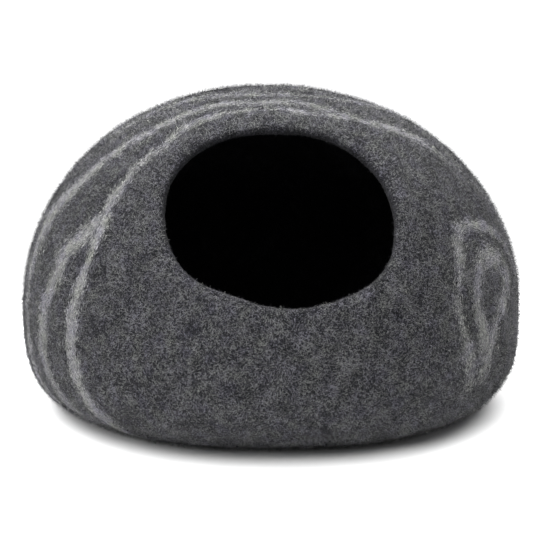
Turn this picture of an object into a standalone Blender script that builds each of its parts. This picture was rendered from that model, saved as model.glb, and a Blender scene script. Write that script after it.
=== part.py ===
"""Felt cat cave: one seamless shell of wet-felted wool, with a round mouth high on its front.

Metres, +Z up, the front towards -Y. The origin is the middle of the flat base, on the floor.
Run with: blender --background --python part.py
"""

import math
from collections import namedtuple

import bmesh
import bpy
from mathutils import Matrix, Vector

# Driving sizes of the shell
WALL = 0.008  # thickness of the felt
BELLY_Z = 0.098  # height of the widest line above the floor
DOME = 0.222  # from the widest line up to the crown
KEEL = 0.118  # how far down the round underside would reach if no floor flattened it
FOOT_BLEND = 0.012  # the underside turns softly into the flat base over this distance
CROWN_LEAN = -0.007  # the crown sags this far towards -X

# Driving sizes of the mouth, a hole seen along an axis from the middle of the belly
MOUTH_AZIMUTH = 273.5  # degrees, 270 is straight ahead
MOUTH_RISE = 37.5  # degrees above the level
MOUTH_AWAY = 0.212  # distance along the axis at which the outline is measured
RIM_ROUND = 0.0035  # radius of the two soft edges of the rim

# How finely the shell is faceted
AROUND = 64  # facets round the mouth and round every ring behind it
RIM_STEPS = 3  # facets across each soft edge
LEVEL_BY = 0.6  # share of the way from mouth to base at which the rings lie level

# How closely the rings follow each other: each belt of rings ends this many degrees from the axis.
Belt = namedtuple("Belt", "name rings start end")
BELTS = (
    Belt(name="dome", rings=14, start=26.0, end=95.0),
    Belt(name="foot", rings=14, start=95.0, end=132.0),
    Belt(name="base", rings=5, start=132.0, end=180.0),
)

# The outline seen from above, and how full the wall is above and below its widest line.
# Azimuth in degrees, 0 is +X and 90 the back. A fullness of 2 is a plain ellipse.
Girth = namedtuple("Girth", "azimuth reach shoulder foot")
GIRTH = (
    Girth(azimuth=0, reach=0.2500, shoulder=2.12, foot=3.37),
    Girth(azimuth=45, reach=0.2435, shoulder=2.13, foot=2.92),
    Girth(azimuth=90, reach=0.2375, shoulder=2.14, foot=2.46),
    Girth(azimuth=135, reach=0.2435, shoulder=2.07, foot=2.83),
    Girth(azimuth=180, reach=0.2500, shoulder=2.01, foot=3.19),
    Girth(azimuth=225, reach=0.2435, shoulder=2.04, foot=2.82),
    Girth(azimuth=270, reach=0.2375, shoulder=2.07, foot=2.46),
    Girth(azimuth=315, reach=0.2435, shoulder=2.10, foot=2.92),
)

# The mouth's outline: fuller low on the right, flatter low on the left.
# Degrees round the axis, 0 is towards +X and 90 the top of the mouth.
Lip = namedtuple("Lip", "turn reach")
MOUTH = (
    Lip(turn=0, reach=0.1080),
    Lip(turn=30, reach=0.1085),
    Lip(turn=60, reach=0.1045),
    Lip(turn=90, reach=0.1000),
    Lip(turn=120, reach=0.1055),
    Lip(turn=150, reach=0.1105),
    Lip(turn=180, reach=0.1080),
    Lip(turn=210, reach=0.1030),
    Lip(turn=240, reach=0.0895),
    Lip(turn=270, reach=0.0905),
    Lip(turn=300, reach=0.0955),
    Lip(turn=330, reach=0.1085),
)

# The unevenness of a shell shaped by hand: soft swellings, and hollows where the height is negative.
# Azimuth, elevation and spread in degrees, seen from the middle of the belly.
Swelling = namedtuple("Swelling", "azimuth elevation spread height")
SWELLINGS = (
    Swelling(azimuth=17, elevation=49, spread=14, height=0.0006),
    Swelling(azimuth=90, elevation=76, spread=22, height=-0.0012),
    Swelling(azimuth=348, elevation=-36, spread=12, height=0.0042),
    Swelling(azimuth=188, elevation=-27, spread=12, height=0.0046),
    Swelling(azimuth=184, elevation=-8, spread=10, height=-0.0014),
    Swelling(azimuth=200, elevation=-46, spread=10, height=-0.0034),
    Swelling(azimuth=164, elevation=47, spread=16, height=0.0010),
    Swelling(azimuth=250, elevation=-12, spread=18, height=0.0022),
    Swelling(azimuth=296, elevation=-5, spread=15, height=-0.0020),
    Swelling(azimuth=60, elevation=20, spread=22, height=-0.0030),
    Swelling(azimuth=95, elevation=42, spread=20, height=0.0025),
    Swelling(azimuth=122, elevation=4, spread=20, height=-0.0024),
)

MIDDLE = Vector((0.0, 0.0, BELLY_Z))
UP = Vector((0.0, 0.0, 1.0))


def read_round(rows, column, degrees):
    """The column's value at this angle, on a smooth closed curve through evenly spaced rows."""
    place = (degrees % 360.0) / 360.0 * len(rows)
    row = int(place) % len(rows)
    t = place - int(place)
    before, start, end, after = (getattr(rows[(row + k) % len(rows)], column) for k in (-1, 0, 1, 2))
    slope = (end - before) / 2
    bend = before - 2.5 * start + 2 * end - after / 2
    twist = (after - before + 3 * (start - end)) / 2
    return start + t * (slope + t * (bend + t * twist))


def towards(azimuth, elevation):
    """The unit direction at this azimuth and elevation, both in degrees."""
    level = math.cos(math.radians(elevation))
    turn = math.radians(azimuth)
    return Vector((level * math.cos(turn), level * math.sin(turn), math.sin(math.radians(elevation))))


def softer_of(first, second, blend):
    """The smaller of two distances, with a soft turn where they are nearly equal."""
    share = min(max(0.5 + 0.5 * (second - first) / blend, 0.0), 1.0)
    return second + (first - second) * share - blend * share * (1.0 - share)


def swelling_at(direction):
    """How far the uneven wall stands out here, or in where it is negative."""
    height = 0.0
    for bump in SWELLINGS:
        apart = math.degrees(direction.angle(towards(bump.azimuth, bump.elevation)))
        height += bump.height * math.exp(-((apart / bump.spread) ** 2))
    return height


def outer_point(direction):
    """Where a straight line from the middle of the belly leaves the outside of the shell."""
    azimuth = math.degrees(math.atan2(direction.y, direction.x))
    level = math.hypot(direction.x, direction.y) / read_round(GIRTH, "reach", azimuth)
    if direction.z > 0:
        fullness = read_round(GIRTH, "shoulder", azimuth)
        height = direction.z / DOME
    else:
        fullness = read_round(GIRTH, "foot", azimuth)
        height = -direction.z / KEEL
    distance = (level**fullness + height**fullness) ** (-1.0 / fullness) + swelling_at(direction)
    if direction.z < 0:
        distance = softer_of(distance, BELLY_Z / -direction.z, FOOT_BLEND)
    point = MIDDLE + distance * direction
    point.x += CROWN_LEAN * (max(point.z - BELLY_Z, 0.0) / DOME) ** 2
    return point


def ring_shares():
    """How far along each ring lies between the mouth, 0, and the middle of the base, 1."""
    whole = BELTS[-1].end - BELTS[0].start
    shares = [0.0]
    for belt in BELTS:
        step = (belt.end - belt.start) / belt.rings
        shares += [(belt.start + step * (k + 1) - BELTS[0].start) / whole for k in range(belt.rings)]
    return shares


def ring_direction(turn, share):
    """A direction on the ring at this share of the way from the mouth, 0, to the base, 1.

    The rings start square to the mouth's axis and swing round until they lie level.
    """
    half_angle = math.atan(read_round(MOUTH, "reach", turn) / MOUTH_AWAY)
    half_angle += (math.pi - half_angle) * share
    around = math.radians(turn)
    plain = Vector((math.cos(around), math.sin(around), 0.0)) * math.sin(half_angle) + UP * math.cos(half_angle)
    left = 1.0 - min(share / LEVEL_BY, 1.0)
    swing = Matrix.Rotation(math.radians(MOUTH_AZIMUTH - 270.0) * left, 3, "Z")
    tilt = Matrix.Rotation(math.radians(90.0 - MOUTH_RISE) * left, 3, "X")
    return swing @ tilt @ plain


def felt_material():
    material = bpy.data.materials.new("charcoal_wool_felt")
    material.use_nodes = True
    shader = material.node_tree.nodes["Principled BSDF"]
    shader.inputs["Base Color"].default_value = (0.072, 0.072, 0.076, 1.0)
    shader.inputs["Roughness"].default_value = 0.95
    shader.inputs["Metallic"].default_value = 0.0
    return material


def outer_skin():
    """The outside of the shell, open at the mouth: a ball whose rings are laid from mouth to base."""
    shares = ring_shares()
    shape = bmesh.new()
    bmesh.ops.create_uvsphere(shape, u_segments=AROUND, v_segments=len(shares), radius=1.0)
    pole = max(shape.verts, key=lambda vertex: vertex.co.z)
    bmesh.ops.delete(shape, geom=[pole], context="VERTS")
    for vertex in shape.verts:
        ring = round(vertex.co.angle(UP) / math.pi * len(shares)) - 1
        turn = math.degrees(math.atan2(vertex.co.y, vertex.co.x))
        vertex.co = outer_point(ring_direction(turn, shares[ring]))
    mesh = bpy.data.meshes.new("felt_shell")
    shape.to_mesh(mesh)
    shape.free()
    mesh.shade_smooth()
    return mesh


def make_shell(collection):
    shell = bpy.data.objects.new("felt_shell", outer_skin())
    shell.data.materials.append(felt_material())
    collection.objects.link(shell)
    wall = shell.modifiers.new("wall", "SOLIDIFY")
    wall.thickness = WALL
    wall.offset = -1.0
    wall.use_even_offset = True
    rim = shell.modifiers.new("soft_rim", "BEVEL")
    rim.width = RIM_ROUND
    rim.segments = RIM_STEPS
    rim.limit_method = "ANGLE"
    rim.angle_limit = math.radians(60.0)
    rim.use_clamp_overlap = True
    return shell


def main():
    for thing in list(bpy.data.objects):
        bpy.data.objects.remove(thing, do_unlink=True)
    collection = bpy.data.collections.new("felt_cat_cave")
    bpy.context.scene.collection.children.link(collection)
    make_shell(collection)


main()
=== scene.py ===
"""Felt cat cave: the looks of one seamless shell of wet-felted wool.

The wall is the frame's own, rounded and made a little uneven. On it lies the wool itself: short
matted fibres over the whole outside, and pale wool felted in as long feathered streaks.
Metres, +Z up, the mouth towards -Y.
"""

import math
from collections import namedtuple

import bmesh
import bpy
import numpy as np
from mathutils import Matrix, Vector
from mathutils.bvhtree import BVHTree
from mathutils.kdtree import KDTree


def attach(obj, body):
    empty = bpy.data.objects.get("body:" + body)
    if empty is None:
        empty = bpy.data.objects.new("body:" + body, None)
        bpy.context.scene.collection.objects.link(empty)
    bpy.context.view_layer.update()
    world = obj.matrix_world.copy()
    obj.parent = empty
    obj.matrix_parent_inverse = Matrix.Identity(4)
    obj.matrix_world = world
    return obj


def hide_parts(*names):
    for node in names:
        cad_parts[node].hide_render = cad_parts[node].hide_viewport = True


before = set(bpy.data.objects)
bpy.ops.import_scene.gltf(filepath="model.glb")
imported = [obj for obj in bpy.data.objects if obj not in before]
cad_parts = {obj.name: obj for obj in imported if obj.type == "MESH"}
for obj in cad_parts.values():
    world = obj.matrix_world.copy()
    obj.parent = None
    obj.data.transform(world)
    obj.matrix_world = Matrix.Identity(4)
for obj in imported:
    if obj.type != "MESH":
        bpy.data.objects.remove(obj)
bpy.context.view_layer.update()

MM = 0.001

# The shell
CAVE = "felt_shell"  # the frame's node
WALL = 8 * MM  # the felt's thickness, which is also the height of the inner floor
BELLY_Z = 98 * MM  # height of the widest line
MIDDLE = Vector((0.0, 0.0, BELLY_Z))  # all directions below are seen from here
FLAT_RINGS = (0.96, 0.93, 0.87, 0.78, 0.6, 0.4)  # rings of faces in the flat base, each a share of the last
LIP_DEPTH = 4 * MM  # how far the lip of the mouth curls in, over this width of wall
LIP_WIDTH = 18 * MM
CREST_FACING = 0.3  # the crest of the lip faces neither out nor in by more than this

# The unevenness of hand felting, which starts softly above the flat base
Lump = namedtuple("Lump", "height size seed")
LUMPS = (Lump(0.45 * MM, 70 * MM, 11), Lump(0.22 * MM, 22 * MM, 12))
UNEVEN_FROM = (1 * MM, 20 * MM)

# The view
CAMERA_RISE = 14.0  # degrees above the level
CAMERA_AWAY = 2.0
CAMERA_X = 0.9 * MM
CAMERA_AIM_Z = 133.3 * MM
CAMERA_LENS = 131.3

# The paper: its greys outwards from the object, and how far out it starts and ends to darken. These greys
# are painted light: near white under the object, which lightens its contact shadow, and greyer away from it,
# a painted falloff of the lamps' light
PAPER_SIZE = 12.0
PAPER_REACH = (0.26, 0.6)
PAPER_PAINTED_LIGHT_STOPS = ((0.0, "#fafafa"), (0.35, "#e6e6e6"), (1.0, "#a0a0a0"))

# The light: faint even air and four wide lamps, with the angles in degrees
AIR = 0.25
Lamp = namedtuple("Lamp", "name azimuth rise spread power")
LAMPS = (
    Lamp("overhead_softbox", 262, 68, 60, 3.5),
    Lamp("left_softbox", 214, 46, 60, 2.5),
    Lamp("back_left_softbox", 125, 45, 50, 3.0),
    Lamp("back_right_softbox", 55, 45, 50, 2.8),
)


# ---------------------------------------------------------------- small helpers


def towards(azimuth, elevation):
    """The unit direction at this azimuth and elevation, both in degrees. 0 is +X and 90 the back."""
    level = math.cos(math.radians(elevation))
    turn = math.radians(azimuth)
    return Vector((level * math.cos(turn), level * math.sin(turn), math.sin(math.radians(elevation))))


def linear(colour):
    """The linear RGBA of an sRGB hex colour."""
    parts = [int(colour[k : k + 2], 16) / 255 for k in (1, 3, 5)]
    return tuple(p / 12.92 if p <= 0.04045 else ((p + 0.055) / 1.055) ** 2.4 for p in parts) + (1.0,)


def wander(points, wavelength, seed):
    """A smooth random number, about -1 to 1, at each point: many small waves laid over each other."""
    chance = np.random.default_rng(seed)
    waves = 24
    ways = chance.normal(size=(waves, 3))
    ways /= np.linalg.norm(ways, axis=1)[:, None]
    ways *= 2 * math.pi / wavelength * chance.uniform(0.7, 1.4, (waves, 1))
    starts = chance.uniform(0, 2 * math.pi, waves)
    total = np.zeros(len(points))
    for way, start in zip(ways, starts):
        total += np.cos(points @ way + start)
    return total / math.sqrt(waves)


def soft_step(values, start, end):
    """0 up to the start, 1 from the end on, and a smooth rise between them."""
    share = np.clip((values - start) / (end - start), 0.0, 1.0)
    return share * share * (3 - 2 * share)


def columns(mesh_data, attribute, width):
    """One attribute of a mesh's vertices or corners as an array."""
    values = np.empty(len(mesh_data) * width)
    mesh_data.foreach_get(attribute, values)
    return values.reshape(-1, width)


# ---------------------------------------------------------------- the wall


def ring_the_flat(shape, height):
    """Gives the flat part at this height rings of faces, so that it rounds as evenly as the rest."""
    near = 0.02 * MM
    flat = [face for face in shape.faces if all(abs(v.co.z - height) < near for v in face.verts)]
    bmesh.ops.delete(shape, geom=flat, context="FACES")
    edges = [edge for edge in shape.edges if edge.is_boundary]
    for share in FLAT_RINGS:
        made = bmesh.ops.extrude_edge_only(shape, edges=edges)["geom"]
        edges = [part for part in made if isinstance(part, bmesh.types.BMEdge) and part.is_boundary]
        verts = [part for part in made if isinstance(part, bmesh.types.BMVert)]
        bmesh.ops.scale(shape, verts=verts, vec=(share, share, 1.0))
    middle = bmesh.ops.holes_fill(shape, edges=edges, sides=0)["faces"]
    bmesh.ops.poke(shape, faces=middle)


def rim_of(places, normals):
    """How far each place is from the crest of the mouth's lip, the middle of that crest, and which way
    each place faces: 1 on the outside and -1 on the inside."""
    out = places - np.array(MIDDLE)
    facing = (out * normals).sum(1) / np.linalg.norm(out, axis=1)
    crest = places[(np.abs(facing) < CREST_FACING) & (places[:, 2] > BELLY_Z / 2)]
    tree = KDTree(len(crest))
    for index, place in enumerate(crest):
        tree.insert(place, index)
    tree.balance()
    return np.array([tree.find(place)[2] for place in places]), crest.mean(0), facing


def felt_wall():
    """The shell: the frame's wall, merged and rounded, with the soft unevenness of hand felting."""
    shape = bmesh.new()
    shape.from_mesh(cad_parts[CAVE].data)
    bmesh.ops.remove_doubles(shape, verts=shape.verts, dist=0.01 * MM)
    for height in (0.0, WALL):
        ring_the_flat(shape, height)
    bmesh.ops.join_triangles(
        shape,
        faces=shape.faces,
        angle_face_threshold=math.radians(40),
        angle_shape_threshold=math.pi,
        topology_influence=1.0,
    )
    bmesh.ops.recalc_face_normals(shape, faces=shape.faces)
    mesh = bpy.data.meshes.new("felt_wall")
    shape.to_mesh(mesh)
    shape.free()
    wall = bpy.data.objects.new("felt_wall", mesh)
    bpy.context.scene.collection.objects.link(wall)
    rounding = wall.modifiers.new("rounding", "SUBSURF")
    rounding.levels = 2
    rounding.render_levels = 2
    graph = bpy.context.evaluated_depsgraph_get()
    wall.data = bpy.data.meshes.new_from_object(wall.evaluated_get(graph))
    wall.modifiers.clear()

    places = columns(wall.data.vertices, "co", 3)
    normals = columns(wall.data.vertex_normals, "vector", 3)
    lumps = sum(lump.height * wander(places, lump.size, lump.seed) for lump in LUMPS)
    places += normals * (lumps * soft_step(places[:, 2], *UNEVEN_FROM))[:, None]
    distance, mouth, _ = rim_of(places, normals)
    inwards = np.array(MIDDLE) - mouth
    inwards /= np.linalg.norm(inwards)
    places += inwards * (LIP_DEPTH * np.clip(1 - distance / LIP_WIDTH, 0, 1) ** 2)[:, None]
    wall.data.vertices.foreach_set("co", places.ravel())
    wall.data.shade_smooth()
    return wall


# ---------------------------------------------------------------- the streaks of pale wool

# A streak is a smooth line through its dabs of pale wool. Azimuth and elevation are in degrees,
# half is half the streak's width in millimetres, and pale how much pale wool lies there. Past 1 the
# streak is at its palest over more of its width.
Dab = namedtuple("Dab", "azimuth elevation half pale")
STREAKS = {
    "round_the_mouth": (
        Dab(230, -27, 8, 0.3),
        Dab(226, -19.5, 8, 1.0),
        Dab(223.5, -12, 7, 1.2),
        Dab(221, -5, 6, 1.3),
        Dab(220, 2, 6, 1.3),
        Dab(220, 9, 6, 1.2),
        Dab(221.5, 16, 5, 1.1),
        Dab(222, 23, 5, 1.1),
        Dab(222, 29, 5, 1.2),
        Dab(221, 34, 4, 1.0),
        Dab(222, 44, 4, 0.8),
        Dab(225, 54, 4, 0.65),
        Dab(231, 63.5, 3.5, 0.8),
        Dab(250, 70, 3, 0.8),
        Dab(276, 71.6, 3, 1.2),
        Dab(297, 68.6, 3, 1.1),
        Dab(318, 64, 3.5, 0.7),
        Dab(334, 56.5, 6, 0.85),
        Dab(343, 49, 9, 0.6),
        Dab(346, 43, 9, 0.3),
        Dab(349, 36, 9, 0.2),
        Dab(354, 22, 9, 0.3),
        Dab(359, 6, 9, 0.3),
        Dab(359, -12, 9, 0.2),
    ),
    "left_branch": (
        Dab(221, 31, 6, 1.1),
        Dab(217.5, 26, 8, 1.2),
        Dab(212.5, 21, 9, 1.2),
        Dab(211, 14.5, 8, 1.2),
        Dab(208.5, 8.5, 8, 1.2),
        Dab(207, 2, 9, 1.2),
        Dab(207, -4.5, 8, 1.1),
        Dab(210, -10.5, 8, 1.0),
        Dab(213, -18, 8, 0.8),
        Dab(216, -25, 9, 0.2),
    ),
    "left_edge": (
        Dab(203, -18, 9, 0.6),
        Dab(199, -10, 9, 0.7),
        Dab(196, 2, 10, 0.4),
        Dab(194.5, 14, 12, 0.8),
        Dab(194.5, 25, 14, 1.1),
        Dab(199, 34, 9, 1.1),
        Dab(204, 45, 6, 1.0),
        Dab(210, 55, 5, 1.0),
        Dab(214, 64, 5, 1.0),
        Dab(226, 72, 5, 0.9),
        Dab(259, 76, 5, 0.8),
        Dab(297, 75, 5, 0.9),
        Dab(316, 70, 5, 0.6),
        Dab(325, 62, 6, 0.4),
    ),
    "crown": (
        Dab(178, 46, 9, 0.3),
        Dab(185, 55, 8, 0.5),
        Dab(188, 66, 8, 0.5),
        Dab(202, 77, 8, 0.4),
        Dab(240, 82, 7, 0.5),
        Dab(300, 82, 7, 0.4),
        Dab(336, 77, 7, 0.3),
        Dab(355, 68, 8, 0.4),
        Dab(10, 55, 8, 0.7),
        Dab(16, 38, 8, 0.8),
        Dab(20, 18, 8, 0.8),
        Dab(18, -2, 8, 0.7),
        Dab(12, -18, 8, 0.2),
    ),
    "right_whirl_outside": (
        Dab(322, -9, 11, 0.4),
        Dab(320, -2, 9, 0.6),
        Dab(318, 4, 5, 0.6),
        Dab(317, 11, 4, 0.8),
        Dab(319, 16.5, 5, 0.6),
        Dab(321, 21, 7, 0.8),
        Dab(324.5, 26, 7, 0.8),
        Dab(332, 26, 6, 0.8),
        Dab(339, 23.5, 5, 0.8),
        Dab(345, 19.5, 5, 0.45),
        Dab(350, 10, 8, 0.2),
        Dab(348, -4, 9, 0.2),
        Dab(340, -14, 9, 0.1),
    ),
    "right_whirl_inside": (
        Dab(326.5, -8, 9, 0.5),
        Dab(327, -2, 10, 1.2),
        Dab(325.5, 3, 8, 1.2),
        Dab(324, 9, 5, 1.0),
        Dab(325.5, 14.5, 7, 0.9),
        Dab(330.5, 18, 10, 0.8),
        Dab(337.5, 16.5, 12, 0.6),
        Dab(339.5, 12.5, 12, 0.7),
        Dab(336.5, 8, 11, 0.7),
        Dab(332.5, 4, 9, 0.8),
        Dab(329.5, 0, 8, 0.9),
        Dab(326.5, -6, 9, 0.5),
    ),
    "back_whirl_outside": (
        Dab(150, -16, 8, 0.2),
        Dab(154, -4, 8, 0.6),
        Dab(152, 12, 8, 0.8),
        Dab(144, 28, 8, 0.9),
        Dab(130, 42, 8, 0.9),
        Dab(108, 50, 8, 0.9),
        Dab(84, 46, 8, 0.9),
        Dab(68, 34, 8, 0.9),
        Dab(60, 18, 8, 0.8),
        Dab(60, 0, 8, 0.7),
        Dab(66, -14, 8, 0.3),
    ),
    "back_whirl_inside": (
        Dab(131, -14, 7, 0.3),
        Dab(135, 0, 7, 0.8),
        Dab(130, 16, 7, 0.9),
        Dab(116, 28, 7, 0.9),
        Dab(98, 30, 7, 0.9),
        Dab(84, 20, 7, 0.8),
        Dab(86, 6, 7, 0.7),
        Dab(98, -2, 7, 0.6),
        Dab(110, 4, 7, 0.4),
    ),
}


def through(rows, steps):
    """Values on a smooth line through the rows, this many to each stretch between two of them."""
    rows = np.vstack([2 * rows[0] - rows[1], rows, 2 * rows[-1] - rows[-2]])
    share = np.linspace(0, 1, steps, endpoint=False)[:, None]
    stretches = []
    for before, start, end, after in zip(rows, rows[1:], rows[2:], rows[3:]):
        slope = (end - before) / 2
        bend = before - 2.5 * start + 2 * end - after / 2
        twist = (after - before + 3 * (start - end)) / 2
        stretches.append(start + share * (slope + share * (bend + share * twist)))
    return np.vstack(stretches)


class PaleWool:
    """Where the streaks run on the outside of the wall, and how much pale wool lies near a point."""

    STEPS = 40  # between two dabs
    OUTSIDE = 0.6  # the lines are laid onto the wall from this far away
    FALL = 2.4  # how steeply a streak ends: 2 is a plain bell, and more has a flatter top
    RAGGED = Lump(0.35, 9 * MM, 21)  # how the width wavers, as a share of it
    PATCHY = Lump(0.25, 30 * MM, 22)  # how the paleness wavers

    def __init__(self, wall):
        tree = BVHTree.FromPolygons(
            [v.co for v in wall.data.vertices],
            [p.vertices for p in wall.data.polygons],
        )
        places, runs, halves, pales = [], [], [], []
        for dabs in STREAKS.values():
            rows = [[*towards(dab.azimuth, dab.elevation), dab.half * MM, dab.pale] for dab in dabs]
            line = through(np.array(rows), self.STEPS)
            hits = []
            for way in line[:, :3]:
                way = Vector(way).normalized()
                hits.append(tree.ray_cast(MIDDLE + self.OUTSIDE * way, -way)[0])
            hits = np.array(hits)
            run = np.gradient(hits, axis=0)
            places.append(hits)
            runs.append(run / np.linalg.norm(run, axis=1)[:, None])
            halves.append(line[:, 3])
            pales.append(line[:, 4])
        self.places = np.vstack(places)
        self.runs = np.vstack(runs)
        self.halves = np.concatenate(halves)
        self.pales = np.concatenate(pales)
        self.tree = KDTree(len(self.places))
        for index, place in enumerate(self.places):
            self.tree.insert(place, index)
        self.tree.balance()

    def near(self, points):
        """For each point: how pale it is, 0 to 1, and the way the nearest streak runs."""
        found = [self.tree.find(point)[1:] for point in points]
        index = np.array([row[0] for row in found])
        away = np.array([row[1] for row in found])
        ragged = 1 + self.RAGGED.height * wander(points, self.RAGGED.size, self.RAGGED.seed)
        share = np.exp(-((away / (self.halves[index] * np.clip(ragged, 0.4, 1.6))) ** self.FALL))
        patchy = 1 + self.PATCHY.height * wander(points, self.PATCHY.size, self.PATCHY.seed)
        return np.clip(share * self.pales[index] * patchy, 0, 1), self.runs[index]


# ---------------------------------------------------------------- the wool


class Skin:
    """The outside of the wall and its rim, from which places for fibres are drawn by chance."""

    # Where each soft step starts and ends: by facing, from -1 inside to 1 outside, and by distance
    # from the crest of the lip or, for the base, from the floor
    INNER_FACING = (-0.7, -0.1)
    TURNED_FACING = (-0.5, 0.8)
    BARE_FACING = (-0.75, -0.35)
    LIP_AWAY = (0, 10 * MM)
    DEEP_AWAY = (10 * MM, 18 * MM)
    SHADOW_AWAY = (12 * MM, 20 * MM)
    BASE_UP = (0.2 * MM, 2 * MM)

    def __init__(self, wall):
        mesh = wall.data
        mesh.calc_loop_triangles()
        self.places = columns(mesh.vertices, "co", 3)
        self.normals = columns(mesh.vertex_normals, "vector", 3)
        faces = np.empty(len(mesh.loop_triangles) * 3, np.int32)
        mesh.loop_triangles.foreach_get("vertices", faces)
        self.faces = faces.reshape(-1, 3)
        distance, self.mouth, facing = rim_of(self.places, self.normals)
        deep = np.where(facing > 0, 0, soft_step(distance, *self.DEEP_AWAY))
        self.inner = np.maximum(1 - soft_step(facing, *self.INNER_FACING), deep)
        self.lip = 1 - soft_step(distance, *self.LIP_AWAY)
        # Painted shade where the lip turns in, fading out this far from its crest
        near = 1 - soft_step(distance, *self.SHADOW_AWAY)
        self.lip_shade = (1 - soft_step(facing, *self.TURNED_FACING)) * near
        off_the_floor = soft_step(self.places[:, 2], *self.BASE_UP)
        worn = soft_step(facing, *self.BARE_FACING) * (1 - deep) * off_the_floor
        first, second, third = (self.places[self.faces[:, corner]] for corner in range(3))
        areas = np.linalg.norm(np.cross(second - first, third - first), axis=1) / 2
        self.weights = areas * worn[self.faces].mean(1)

    def draw(self, count, chance, liking=None):
        """Places on the skin, the normals there, and for each how near the lip it is and how much painted
        shade it gets where the lip turns in."""
        weights = self.weights if liking is None else self.weights * liking[self.faces].mean(1)
        picked = self.faces[chance.choice(len(self.faces), count, p=weights / weights.sum())]
        first, second = chance.random((2, count, 1))
        root = np.sqrt(first)
        shares = np.stack([1 - root, root * (1 - second), root * second], 1)
        places = (self.places[picked] * shares).sum(1)
        normals = (self.normals[picked] * shares).sum(1)
        normals /= np.linalg.norm(normals, axis=1)[:, None]
        lip, lip_shade = ((values[picked] * shares[:, :, 0]).sum(1) for values in (self.lip, self.lip_shade))
        return places, normals, lip, lip_shade


# One layer of wool. Sizes are in millimetres, and stray is the share of its fibres that stand up.
Layer = namedtuple("Layer", "name count length width rise stray seed")
MATTED = (
    Layer("matted_wool_1", 185000, 3.6, 0.82, 0.4, 0.02, 31),
    Layer("matted_wool_2", 185000, 3.1, 0.78, 0.6, 0.02, 32),
    Layer("matted_wool_3", 185000, 2.6, 0.68, 0.8, 0.03, 33),
)
STREAKED = Layer("streak_wool", 60000, 5.0, 0.40, 0.6, 0.01, 34)
HAIRS = Layer("loose_hairs", 195000, 4.8, 0.18, 0.9, 0.9, 35)

# How far the fibres of one layer differ from its own sizes
LENGTHS = (0.6, 1.4)
WIDTHS = (0.7, 1.3)
RISES = (0.2, 1.0)
ROOTS = (-0.3, 0.8)  # how high the root sits, as a share of the rise
STANDING = (0.2, 0.9)  # how high the tip of a standing fibre is, as a share of its length
STANDING_REACH = 0.6  # how far such a fibre still reaches along the wall
ROLL = 0.3  # radians
BELLIES = (0.35, 0.65)  # where along a fibre it is widest
OFF_THE_FLOOR = 0.15 * MM
SHORTER = 0.35  # how much shorter the fibres are at the lip

# Which way they lie, beside plain chance
SWIRL, SWIRL_SIZE, SWIRL_SEEDS = 0.7, 45 * MM, (51, 52, 53)
LEVEL = 0.7
ROUND_THE_LIP = 1.5
PALE_RUNS, STREAK_RUNS = 0.6, 0.25  # how much of this is left in pale fibres, which follow their streak

# How light they are, from 0, near black, to 1, off-white, and how much this wavers over the wall
CHARCOAL, HEATHER = 0.49, 0.32
DARKEST, LIGHTEST = 0.02, 0.72
CLOUDS = (Lump(0.09, 26 * MM, 41), Lump(0.09, 9 * MM, 42), Lump(0.18, 3.6 * MM, 43))
PALE_SHADES, STREAK_SHADES = (0.65, 1.0), (0.66, 1.0)
MOST_PALE = 0.85  # even in a streak some fibres stay charcoal
# Painted light: loose hairs are made lighter, most of all on the crown, for light shining through them and
# their sheen at the outline
HAIR_PAINTED_LIGHT, CROWN_PAINTED_LIGHT = 0.12, 0.12  # loose hairs are lighter, most of all on the crown
CROWN_FACING = (0.6, 1.0)
# Painted shade where the lip turns in: there the wool loses the first share of its lightness at the height
# of the mouth's middle, and less by the second share this far below
LIP_PAINTED_SHADE, LIP_PAINTED_SHADE_SPARED = 0.75, 0.6
LIP_SPARED_OVER = 100 * MM

# How warm they are, from 0, bluish, to 1, brownish
TINT_SPREAD = 0.2
TINT_WAVE = Lump(0.3, 20 * MM, 44)


def lay_fibres(layer, places, normals, runs, sizes, shade, tint, chance):
    """One mesh of short fibres, each a pointed sliver of one face that lies almost flat."""
    count = len(places)
    across = np.cross(normals, runs)
    across /= np.linalg.norm(across, axis=1)[:, None]
    along = np.cross(across, normals)
    long = (layer.length * MM * sizes * chance.uniform(*LENGTHS, count))[:, None]
    wide = (layer.width * MM * chance.uniform(*WIDTHS, count))[:, None]
    lifted = (layer.rise * MM * sizes * chance.uniform(*RISES, count))[:, None]
    stands = chance.random((count, 1)) < layer.stray
    root = places + normals * lifted * chance.uniform(*ROOTS, (count, 1))
    standing_tip = long * chance.uniform(*STANDING, (count, 1))
    lying_tip = lifted * chance.uniform(*RISES, (count, 1))
    reach = long * np.where(stands, STANDING_REACH, 1.0)
    tip = places + along * reach + normals * np.where(stands, standing_tip, lying_tip)
    roll = chance.normal(0, ROLL, (count, 1))
    side = across * np.cos(roll) + normals * np.sin(roll)
    belly = root + (tip - root) * chance.uniform(*BELLIES, (count, 1)) + side * wide
    points = np.stack([root, tip, belly], 1)
    points[:, :, 2] = np.maximum(points[:, :, 2], OFF_THE_FLOOR)

    mesh = bpy.data.meshes.new(layer.name)
    mesh.vertices.add(count * 3)
    mesh.vertices.foreach_set("co", points.ravel())
    mesh.loops.add(count * 3)
    mesh.loops.foreach_set("vertex_index", np.arange(count * 3))
    mesh.polygons.add(count)
    mesh.polygons.foreach_set("loop_start", np.arange(count) * 3)
    mesh.update(calc_edges=True)
    # Each fibre is one small spot on a chart of shade across and tint up, clear of the chart's edge.
    spot = 0.002
    spots = np.array([[-1, -1], [1, -1], [0, 1]]) * spot
    chart = np.stack([shade, tint], 1)[:, None, :] * (1 - 4 * spot) + 2 * spot + spots
    mesh.uv_layers.new(name="OFBake").data.foreach_set("uv", chart.ravel())
    wool = bpy.data.objects.new(layer.name, mesh)
    bpy.context.scene.collection.objects.link(wool)
    return wool


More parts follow.
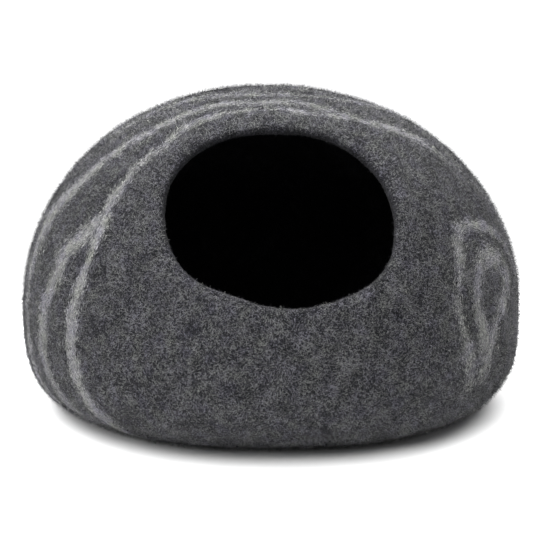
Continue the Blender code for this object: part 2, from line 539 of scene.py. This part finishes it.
def lying_runs(places, normals, lip, mouth, chance):
    """The way each fibre lies: matted at random, with a slow swirl, a little more often level than
    upright, and along the lip of the mouth."""
    swirl = np.stack([wander(places, SWIRL_SIZE, seed) for seed in SWIRL_SEEDS], 1)
    runs = chance.normal(size=normals.shape) + SWIRL * swirl
    rim = np.cross(normals, places - mouth)
    rim /= np.linalg.norm(rim, axis=1)[:, None]
    either = np.where(chance.random(len(places)) < 0.5, -1.0, 1.0)
    level = np.cross((0, 0, 1), normals)
    runs = runs + LEVEL * level * either[:, None] + ROUND_THE_LIP * rim * (lip * either)[:, None]
    runs -= normals * (runs * normals).sum(1)[:, None]
    return runs / np.linalg.norm(runs, axis=1)[:, None]


def wool_shade(places, chance):
    """How light each fibre of the heathered charcoal is."""
    cloud = sum(lump.height * wander(places, lump.size, lump.seed) for lump in CLOUDS)
    return np.clip(CHARCOAL + chance.normal(0, HEATHER, len(places)) + cloud, DARKEST, LIGHTEST)


def wool_tint(places, chance):
    """How warm each fibre is."""
    wave = TINT_WAVE.height * wander(places, TINT_WAVE.size, TINT_WAVE.seed)
    return np.clip(0.5 + chance.normal(0, TINT_SPREAD, len(places)) + wave, 0, 1)


def lip_shadow(places, lip_shade, mouth):
    """Painted shade where the lip turns in: how much of its lightness the wool keeps there, most below the
    mouth, where light from above falls on it."""
    below = np.clip((mouth[2] - places[:, 2]) / LIP_SPARED_OVER, 0, 1)
    return 1 - lip_shade * (LIP_PAINTED_SHADE - LIP_PAINTED_SHADE_SPARED * below)


def make_wool(skin, pale_wool):
    """All the fibres: the matted layers with pale ones among them, the loose hairs, and the streaks' own."""
    pieces = []
    for layer in (*MATTED, HAIRS):
        chance = np.random.default_rng(layer.seed)
        places, normals, lip, lip_shade = skin.draw(layer.count, chance)
        pale, streak_runs = pale_wool.near(places)
        is_pale = chance.random(layer.count) < pale * MOST_PALE
        runs = lying_runs(places, normals, lip, skin.mouth, chance)
        runs = np.where(is_pale[:, None], streak_runs + PALE_RUNS * runs, runs)
        shade = wool_shade(places, chance)
        # Painted light on the loose hairs, most of all on the crown
        if layer is HAIRS:
            shade = shade + HAIR_PAINTED_LIGHT + CROWN_PAINTED_LIGHT * soft_step(normals[:, 2], *CROWN_FACING)
        shade = np.where(is_pale, chance.uniform(*PALE_SHADES, layer.count), shade)
        tint = wool_tint(places, chance)
        # Painted shade where the lip turns in
        shade = shade * lip_shadow(places, lip_shade, skin.mouth)
        sizes = 1 - SHORTER * lip
        pieces.append(lay_fibres(layer, places, normals, runs, sizes, shade, tint, chance))

    chance = np.random.default_rng(STREAKED.seed)
    places, normals, lip, _ = skin.draw(STREAKED.count, chance, pale_wool.near(skin.places)[0] ** 2)
    matted = lying_runs(places, normals, lip, skin.mouth, chance)
    runs = pale_wool.near(places)[1] + STREAK_RUNS * matted
    shade = chance.uniform(*STREAK_SHADES, STREAKED.count)
    tint = wool_tint(places, chance)
    sizes = 1 - SHORTER * lip
    pieces.append(lay_fibres(STREAKED, places, normals, runs, sizes, shade, tint, chance))
    return pieces


# ---------------------------------------------------------------- materials


def add(tree, kind, settings=None, stops=(), **links):
    """Adds a node, with its settings, a colour ramp's stops, each a place from 0 to 1 and a colour, and
    what feeds its inputs: a value, or another node's output. An input is named, or numbered as i0, i1."""
    node = tree.nodes.new(kind)
    for name, value in (settings or {}).items():
        setattr(node, name, value)
    for index, (place, colour) in enumerate(stops):
        elements = node.color_ramp.elements
        stop = elements[index] if index < len(elements) else elements.new(place)
        stop.position = place
        stop.color = linear(colour)
    for name, value in links.items():
        key = int(name[1:]) if name[1:].isdigit() else name.replace("_", " ")
        socket = node.inputs[key]
        if isinstance(value, bpy.types.NodeSocket):
            tree.links.new(value, socket)
        else:
            socket.default_value = value
    return node


def new_material(name):
    material = bpy.data.materials.new(name)
    material.use_nodes = True
    return material, material.node_tree, material.node_tree.nodes["Principled BSDF"]


# Wool from the darkest dyed fibre to the palest undyed one
WOOL_STOPS = ((0.0, "#050507"), (0.25, "#1f1f22"), (0.5, "#3a3a3e"), (0.75, "#616163"), (1.0, "#afafae"))
TINT_STOPS = ((0.0, "#f2f0ff"), (0.5, "#ffffff"), (1.0, "#fcfff5"))
FLECK = 1.6 * MM  # the length of a fleck on the wall itself
CLOUD = 14 * MM  # and of a lighter or darker patch of flecks
RELIEF = 0.8 * MM


def dull(shader, roughness):
    """Wool's surface: its scales scatter light, which leaves little gloss and a faint soft sheen."""
    shader.inputs["Roughness"].default_value = roughness
    shader.inputs["Specular IOR Level"].default_value = 0.2
    shader.inputs["Sheen Weight"].default_value = 0.12
    shader.inputs["Sheen Roughness"].default_value = 0.35


def fibre_material():
    """Carded wool, undyed pale and dyed charcoal: matt, each fibre of one shade, with a soft sheen."""
    material, tree, shader = new_material("carded_wool_fibre")
    chart = add(tree, "ShaderNodeUVMap", {"uv_map": "OFBake"})
    parts = add(tree, "ShaderNodeSeparateXYZ", Vector=chart.outputs["UV"])
    shade = add(tree, "ShaderNodeValToRGB", stops=WOOL_STOPS, Fac=parts.outputs["X"])
    tint = add(tree, "ShaderNodeValToRGB", stops=TINT_STOPS, Fac=parts.outputs["Y"])
    mixed = add(
        tree, "ShaderNodeMix", {"data_type": "RGBA", "blend_type": "MULTIPLY"},
        i0=1.0, i6=shade.outputs["Color"], i7=tint.outputs["Color"],
    )
    tree.links.new(mixed.outputs[2], shader.inputs["Base Color"])
    dull(shader, roughness=0.92)
    return material


def felt_material():
    """Wet-felted wool, heathered charcoal: fibres too fine to model are drawn as fleck and relief."""
    material, tree, shader = new_material("wet_felted_wool")
    place = add(tree, "ShaderNodeTexCoord").outputs["Object"]
    pale = add(tree, "ShaderNodeAttribute", {"attribute_name": "pale_wool"}).outputs["Fac"]
    inner = add(tree, "ShaderNodeAttribute", {"attribute_name": "inner_side"}).outputs["Fac"]
    fleck = add(tree, "ShaderNodeTexNoise", Vector=place, Scale=1 / FLECK, Detail=3.0, Roughness=0.6)
    cloud = add(tree, "ShaderNodeTexNoise", Vector=place, Scale=1 / CLOUD, Detail=2.0)
    # The patches shift the flecks' level by up to 0.175 either way.
    shift = add(
        tree, "ShaderNodeMath", {"operation": "MULTIPLY_ADD"},
        i0=cloud.outputs["Fac"], i1=0.35, i2=-0.175,
    )
    level = add(
        tree, "ShaderNodeMath", {"operation": "ADD"},
        i0=fleck.outputs["Fac"], i1=shift.outputs[0],
    )
    # Between the fibres laid on it the felt is dark: painted shade for the shadow in the gaps between them.
    # It is paler in the streaks, and slightly paler inside, where no fibres lie, yet still darker there than
    # the wool outside, painted shade in the hollow.
    gap_shade = add(tree, "ShaderNodeMapRange", Value=level.outputs[0], i1=0.25, i2=0.75, i3=0.0, i4=0.4)
    streaked = add(
        tree, "ShaderNodeMath", {"operation": "MULTIPLY_ADD"},
        i0=pale, i1=0.4, i2=gap_shade.outputs[0],
    )
    shade = add(
        tree, "ShaderNodeMath", {"operation": "MULTIPLY_ADD"},
        i0=inner, i1=0.05, i2=streaked.outputs[0],
    )
    colour = add(tree, "ShaderNodeValToRGB", stops=WOOL_STOPS, Fac=shade.outputs[0])
    tree.links.new(colour.outputs["Color"], shader.inputs["Base Color"])
    relief = add(tree, "ShaderNodeBump", Height=fleck.outputs["Fac"], Strength=0.6, Distance=RELIEF)
    tree.links.new(relief.outputs["Normal"], shader.inputs["Normal"])
    dull(shader, roughness=0.95)
    return material


def store(mesh, name, values):
    """Keeps one number for each vertex under this name, for a material to read."""
    mesh.attributes.new(name, "FLOAT", "POINT").data.foreach_set("value", values)


# ---------------------------------------------------------------- the studio


def make_floor():
    """A sheet of paper, near white under the object and mid grey away from it, which the lamps light to
    plain white. Its greys are painted light: the near white lightens the contact shadow, and the grey
    farther out is a painted falloff of the light."""
    floor_shape = bmesh.new()
    bmesh.ops.create_grid(floor_shape, x_segments=1, y_segments=1, size=PAPER_SIZE)
    floor_mesh = bpy.data.meshes.new("studio_floor")
    floor_shape.to_mesh(floor_mesh)
    floor_shape.free()
    floor = bpy.data.objects.new("studio_floor", floor_mesh)
    bpy.context.scene.collection.objects.link(floor)
    paper, tree, shader = new_material("white_studio_paper")
    place = add(tree, "ShaderNodeTexCoord").outputs["Object"]
    away = add(tree, "ShaderNodeVectorMath", {"operation": "LENGTH"}, i0=place).outputs["Value"]
    start, end = PAPER_REACH
    far = add(tree, "ShaderNodeMapRange", Value=away, i1=start, i2=end).outputs[0]
    colour = add(tree, "ShaderNodeValToRGB", stops=PAPER_PAINTED_LIGHT_STOPS, Fac=far)
    tree.links.new(colour.outputs["Color"], shader.inputs["Base Color"])
    shader.inputs["Roughness"].default_value = 0.9
    floor_mesh.materials.append(paper)


def make_light():
    scene = bpy.context.scene
    scene.view_settings.view_transform = "Standard"
    world = bpy.data.worlds.new("studio_air")
    world.use_nodes = True
    air = world.node_tree.nodes["Background"]
    air.inputs["Color"].default_value = (1.0, 1.0, 1.0, 1.0)
    air.inputs["Strength"].default_value = AIR
    scene.world = world

    for lamp in LAMPS:
        light = bpy.data.lights.new(lamp.name, "SUN")
        light.energy = lamp.power
        light.angle = math.radians(lamp.spread)
        stand = bpy.data.objects.new(lamp.name, light)
        stand.rotation_euler = towards(lamp.azimuth, lamp.rise).to_track_quat("Z", "Y").to_euler()
        scene.collection.objects.link(stand)


def make_camera():
    lens = bpy.data.cameras.new("camera")
    lens.lens = CAMERA_LENS
    camera = bpy.data.objects.new("camera", lens)
    rise = math.radians(CAMERA_RISE)
    back, up = CAMERA_AWAY * math.cos(rise), CAMERA_AWAY * math.sin(rise)
    camera.location = (CAMERA_X, -back, CAMERA_AIM_Z + up)
    camera.rotation_euler = (math.radians(90.0 - CAMERA_RISE), 0.0, 0.0)
    bpy.context.scene.collection.objects.link(camera)
    bpy.context.scene.camera = camera


# ---------------------------------------------------------------- all together

make_floor()
make_light()
make_camera()
wall = felt_wall()
pale_wool = PaleWool(wall)
skin = Skin(wall)
store(wall.data, "pale_wool", pale_wool.near(skin.places)[0])
store(wall.data, "inner_side", skin.inner)
wall.data.materials.clear()
wall.data.materials.append(felt_material())
wool = make_wool(skin, pale_wool)
fibre = fibre_material()
for piece in wool:
    piece.data.materials.append(fibre)

for piece in (wall, *wool):
    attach(piece, "root")
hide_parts(CAVE)
